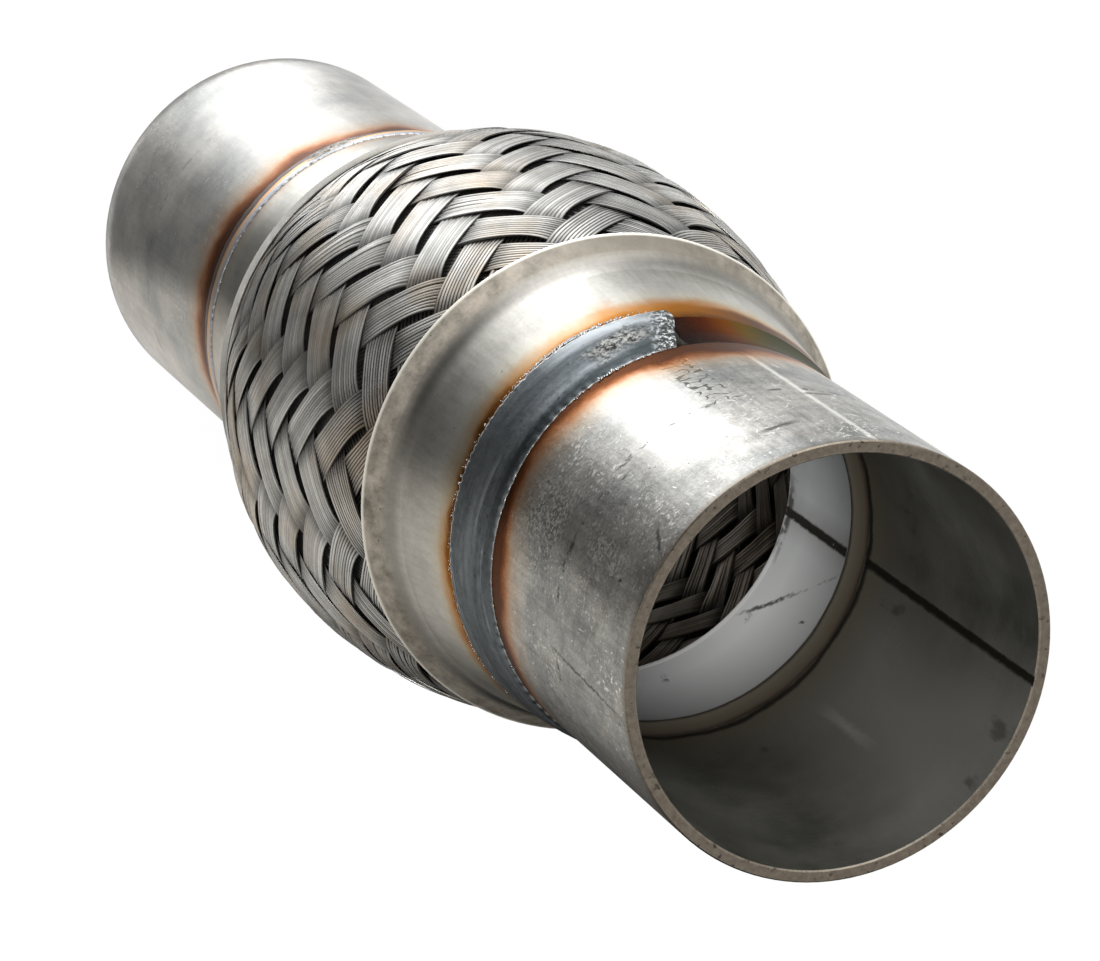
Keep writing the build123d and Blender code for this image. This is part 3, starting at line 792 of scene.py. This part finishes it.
def ring_weld(name, foot, toe, toe_radius, neck, up, bead_start, bead_sweep, seed):
    """A closed ring. Its radius and height run from the tube's foot to the cap, round a low arc.

    The bead starts at an azimuth and sweeps so many degrees, with a slanted start. Where there is none, the
    ring sinks to the hollow root and ends sooner, on the cap's neck.
    """
    azimuth = np.linspace(0, 2 * np.pi, STEPS_ROUND, endpoint=False).reshape(1, -1, 1)
    along = (0.5 - 0.5 * np.cos(np.linspace(0, np.pi, STEPS_ACROSS))).reshape(1, 1, -1)
    from_start = (np.degrees(azimuth) - bead_start + 180) % 360 - 180
    past_end = (np.degrees(azimuth) - bead_start - bead_sweep + 180) % 360 - 180
    in_bead = ((np.degrees(azimuth) - bead_start) % 360 < bead_sweep)
    inside = np.where(in_bead, 1.0, -1.0) * np.minimum(np.abs(from_start), np.abs(past_end))
    slant = SLANT * (1 - 2 * along) * np.exp(-(from_start / 12) ** 2)
    inside = inside - slant + 0.7 * wobble(seed, azimuth, along, 7, 90)
    bead = np.clip(inside / 1.6 + 0.5, 0, 1)
    crumble = 1 + 2.2 * np.exp(-(from_start / 7) ** 2)
    arch = np.sin(np.pi * along)
    # The bead rises quickly at the foot, then arches a little and is rounded off at the toe.
    step = FOOT_STEP * np.minimum(1, along / 0.04)
    top_radius = FOOT_RADIUS + step + (toe_radius - SLOPE_FROM) * along + ARCH_RISE * arch
    top_radius = top_radius - TOE_ROUND * np.maximum(0, along / 0.05 - 19)
    ripples = 0.03 * wobble(seed + 1, azimuth, 4 * along, 8, 22)
    ripples = ripples + 0.02 * wobble(seed + 2, azimuth, 9 * along, 8, 60)
    top_radius = top_radius + ripples * crumble * arch ** 0.4
    root_radius = TUBE_RADIUS + (ROOT_END - TUBE_RADIUS) * along - ROOT_SAG * arch ** 0.8
    radius = bead * top_radius + (1 - bead) * root_radius
    ragged_toe = up * 0.2 * bead * wobble(seed + 3, azimuth, 0 * along, 9, 200)
    ragged_foot = up * 0.14 * bead * wobble(seed + 4, azimuth, 0 * along, 9, 120)
    end = bead * toe + (1 - bead) * neck
    height = foot + (end - foot) * along - ragged_toe * along ** 9 + ragged_foot * (1 - along) ** 9
    under_radius = np.broadcast_to(np.array(UNDER_RADII).reshape(1, 1, 2), (1, STEPS_ROUND, 2))
    radius = np.concatenate([radius, under_radius], axis=2) * MM
    height = np.concatenate([height, height[:, :, [-1, 0]]], axis=2) * MM
    points = np.stack([radius * np.cos(azimuth), radius * np.sin(azimuth), height], axis=-1)
    width = abs(toe - foot)
    return closed_ring(name, points[0], np.concatenate([along.ravel() * width, [width, 0]]), flip=up > 0)


def weld_finish(name, foot, toe, bead_start, bead_sweep, dark, light, edge, patches=(), cream_line=None):
    """Slate oxide with streaks that run along the bead; the bare root goes from brown to olive to grey.

    Each patch is an azimuth, a distance from the foot, a length, a width, a colour and how strong it is. A
    cream line, so many millimetres from the foot, parts the oxide from a brighter side toward the cap.
    """
    made, tree, shader, place = metal(name, 0.4)
    width = abs(toe - foot)
    bead = node(tree, "SeparateXYZ", node(tree, "UVMap", uv_map="bead").outputs[0])
    from_foot = bead.outputs[1]
    laid = node(tree, "CombineXYZ", arithmetic(tree, "MULTIPLY", bead.outputs[0], 0.2),
                arithmetic(tree, "MULTIPLY", from_foot, MM), 0.0).outputs[0]
    tone = mixed(tree, cloud(tree, place, 8, 5, 0.65), dark, light)
    tone = shaded(tree, tone, ramp(tree, cloud(tree, place, 1.4, 5, 0.75), (0.32, 0.74), (0.62, 1.12)))
    streak = cloud(tree, laid, 1.1, 5, 0.6, stretch=(9, 1, 1))
    tone = shaded(tree, tone, ramp(tree, streak, (0.34, 0.72), (0.62, 1.1)))
    gleam = ramp(tree, cloud(tree, laid, 1.6, 3, stretch=(12, 1, 1)), (0.6, 0.0), (0.7, 0.5))
    tone = mixed(tree, gleam, tone, srgb(146, 151, 154))
    tone = shaded(tree, tone, ramp(tree, cloud(tree, place, 1.3, 4), (0.28, 0.35), (0.34, 1.0)))
    for azimuth, across, long, wide, colour, share in patches:
        height = foot + across * np.sign(toe - foot)
        patch = mark(tree, place, azimuth, height, BEAD_RADIUS, long, wide, lean=90, fray=2.4, soft=0.7)
        tone = laid_over(tree, tone, patch, share, colour)
    if cream_line:
        side = arithmetic(tree, "ADD", from_foot, ragged(tree, place, 6, 0.35))
        neck_side = ramp(tree, arithmetic(tree, "DIVIDE", side, width), (0.66, 0.0), (0.76, 1.0))
        tone = mixed(tree, neck_side, tone, srgb(166, 168, 172))
        line = ramp(tree, near(tree, side, cream_line), (0.35, 1.0), (0.75, 0.0))
        tone = mixed(tree, line, tone, srgb(198, 160, 122))
    height = (foot + toe) / 2 + 0.6
    slag = mark(tree, place, -121, height, BEAD_RADIUS, long=8.5, wide=4.6, lean=70, fray=6, soft=0.35)
    clots = mixed(tree, ramp(tree, cloud(tree, place, 0.8, 4, 0.75), (0.4, 0.0), (0.6, 1.0)),
                  srgb(26, 25, 24), srgb(156, 156, 152))
    tone = laid_over(tree, tone, slag, 0.85, clots)
    fray = arithmetic(tree, "MULTIPLY", cloud(tree, place, 0.9, 4, 0.7), 1.6)
    cap_edge = arithmetic(tree, "SUBTRACT", arithmetic(tree, "SUBTRACT", width, from_foot), fray)
    tone = mixed(tree, ramp(tree, cap_edge, (0.0, 0.85), (0.15, 0.0)), tone, edge)
    foot_edge = arithmetic(tree, "SUBTRACT", arithmetic(tree, "MULTIPLY", from_foot, 5.0), fray)
    tone = mixed(tree, ramp(tree, foot_edge, (0.0, 0.6), (0.3, 0.0)), tone, srgb(150, 151, 149))

    around = arithmetic(tree, "MULTIPLY", azimuth_of(tree, place), 180 / np.pi)
    gap = arithmetic(tree, "WRAP", arithmetic(tree, "SUBTRACT", bead_start, around), 360.0, 0.0)
    root = ramp(tree, arithmetic(tree, "DIVIDE", gap, 110.0), (0.0, srgb(36, 28, 26)),
                (0.05, srgb(46, 28, 22)), (0.1, srgb(70, 38, 24)), (0.15, srgb(98, 58, 28)),
                (0.2, srgb(92, 76, 42)), (0.27, srgb(74, 74, 58)), (0.7, srgb(72, 74, 72)))
    across = arithmetic(tree, "DIVIDE", from_foot, width)
    shade = ramp(tree, across, (0.0, srgb(110, 70, 52)), (0.2, srgb(200, 190, 184)), (0.7, 1.0))
    slant = arithmetic(tree, "MULTIPLY", arithmetic(tree, "SUBTRACT", 0.5, across), 2 * SLANT)
    slanted = arithmetic(tree, "ADD", gap, slant)
    bare = arithmetic(tree, "LESS_THAN", arithmetic(tree, "WRAP", slanted, 360.0, 0.0), 359.0 - bead_sweep)
    past_end = arithmetic(tree, "ABSOLUTE", arithmetic(tree, "WRAP", slanted, 180.0, -180.0))
    crumbly = fade(tree, past_end, 3.0, 7.0, 1.0, 0.0)
    grit = ramp(tree, cloud(tree, place, 0.7, 4, 0.75), (0.5, 0.0), (0.58, 1.0))
    crumbs = mixed(tree, grit, srgb(58, 58, 56), srgb(188, 191, 192))
    tone = laid_over(tree, tone, crumbly, 0.85, crumbs)
    tone = mixed(tree, bare, tone, shaded(tree, root, shade))
    coloured(tree, shader, tone)
    lumps = arithmetic(tree, "MULTIPLY", arithmetic(tree, "MAXIMUM", slag, crumbly),
                       cloud(tree, place, 0.9, 4, 0.75))
    fine = arithmetic(tree, "ADD", cloud(tree, place, 0.8, 5, 0.75),
                      cloud(tree, laid, 1.4, 4, 0.6, stretch=(7, 1, 1)))
    rough = arithmetic(tree, "MULTIPLY_ADD", lumps, 4.0, arithmetic(tree, "MULTIPLY", fine, 0.6))
    bumped(tree, shader, rough, 0.11)
    return made


near_bead = ring_weld("near_bead", NEAR_FOOT, NEAR_TOE, toe_radius=33.55, neck=188.0, up=-1, seed=11,
                      **NEAR_BEAD)
near_bead.data.materials.append(weld_finish(
    "near weld skin", NEAR_FOOT, NEAR_TOE, dark=srgb(74, 79, 82), light=srgb(108, 112, 115),
    edge=srgb(196, 198, 198), **NEAR_BEAD,
    patches=((-122, 11.6, 14, 3.4, srgb(176, 181, 184), 0.75), (-98, 1.4, 44, 1.8, srgb(42, 46, 47), 0.8),
             (-110, 3.4, 20, 1.2, srgb(134, 139, 141), 0.35), (-50, 6.8, 30, 2.2, srgb(126, 131, 133), 0.35),
             (-20, 6.8, 22, 3.5, srgb(58, 62, 64), 0.6), (-102, 8.6, 17, 5.0, srgb(54, 58, 60), 0.55),
             (-127, 2.8, 7, 4.0, srgb(46, 50, 50), 0.7))))
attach(near_bead, "root")
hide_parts("near_weld")

far_bead = ring_weld("far_bead", FAR_FOOT, FAR_TOE, toe_radius=33.25, neck=66.5, up=1, seed=23, **FAR_BEAD)
far_bead.data.materials.append(weld_finish(
    "far weld skin", FAR_FOOT, FAR_TOE, dark=srgb(82, 74, 71), light=srgb(120, 114, 114),
    edge=srgb(160, 160, 162), **FAR_BEAD, cream_line=4.7))
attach(far_bead, "root")
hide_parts("far_weld")


# Spatter

# Droplets froze along both edges of each bead.


def droplets(name, azimuth, height, radius, size, seed):
    """One octahedron, split once and pushed out to a ball, copied to each place and squashed by chance."""
    chance = np.random.default_rng(seed)
    tip = np.array([(1, 0, 0), (-1, 0, 0), (0, 1, 0), (0, -1, 0), (0, 0, 1), (0, 0, -1)], dtype=float)
    halves = [(a + b) / np.sqrt(2) for k, a in enumerate(tip) for b in tip[k + 1:] if abs(a @ b) < 0.5]
    ball = np.concatenate([tip, halves])
    sides = [(a, b, c) for a in (0, 1) for b in (2, 3) for c in (4, 5)]
    faces = []
    for a, b, c in sides:
        mid = [int(np.argmin(np.linalg.norm(ball - (ball[p] + ball[q]) / np.sqrt(2), axis=1)))
               for p, q in ((a, b), (b, c), (c, a))]
        small = [(a, mid[0], mid[2]), (mid[0], b, mid[1]), (mid[2], mid[1], c), (mid[0], mid[1], mid[2])]
        facing = np.linalg.det(ball[[a, b, c]]) > 0
        faces += small if facing else [face[::-1] for face in small]
    shape = ball.reshape(1, -1, 3) * chance.uniform(0.6, 1.35, (len(size), 1, 3)) * size.reshape(-1, 1, 1)
    centre = np.stack([radius * np.cos(azimuth), radius * np.sin(azimuth), height], axis=-1).reshape(-1, 1, 3)
    points = (shape + centre).reshape(-1, 3) * MM
    first = len(ball) * np.arange(len(size)).reshape(-1, 1, 1)
    all_faces = (np.array(faces).reshape(1, -1, 3) + first).reshape(-1, 3)
    mesh = bpy.data.meshes.new(name)
    mesh.from_pydata(points.tolist(), [], all_faces.tolist())
    mesh.polygons.foreach_set("use_smooth", np.ones(len(all_faces), dtype=bool))
    return placed(name, mesh)


drop_finish, tree, shader, place = metal("bright droplets", 0.3)
tree.links.new(mixed(tree, cloud(tree, place, 1.5, 2), srgb(108, 110, 112), srgb(206, 206, 204)),
               shader.inputs["Base Color"])

for name, foot, toe, toe_radius, bead, seed in (
        ("near_spatter", NEAR_FOOT, NEAR_TOE, 33.42, NEAR_BEAD, 5),
        ("far_spatter", FAR_FOOT, FAR_TOE, 33.1, FAR_BEAD, 6)):
    chance = np.random.default_rng(seed)
    count = 560
    at_toe = chance.random(count) < 0.86
    bunched = chance.random(count) < 0.5
    along = np.where(bunched, np.abs(chance.normal(0.1, 0.035, count)), chance.random(count))
    size = chance.uniform(0.05, 0.11, count)
    size = size + 0.16 * chance.random(count) * np.exp(-((along - 0.09) / 0.05) ** 2)
    drops = droplets(name, np.radians(bead["bead_start"] + bead["bead_sweep"] * along),
                     np.where(at_toe, toe, foot) + chance.normal(0, 0.2, count),
                     np.where(at_toe, toe_radius, 31.85), size, seed)
    drops.data.materials.append(drop_finish)
    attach(drops, "root")
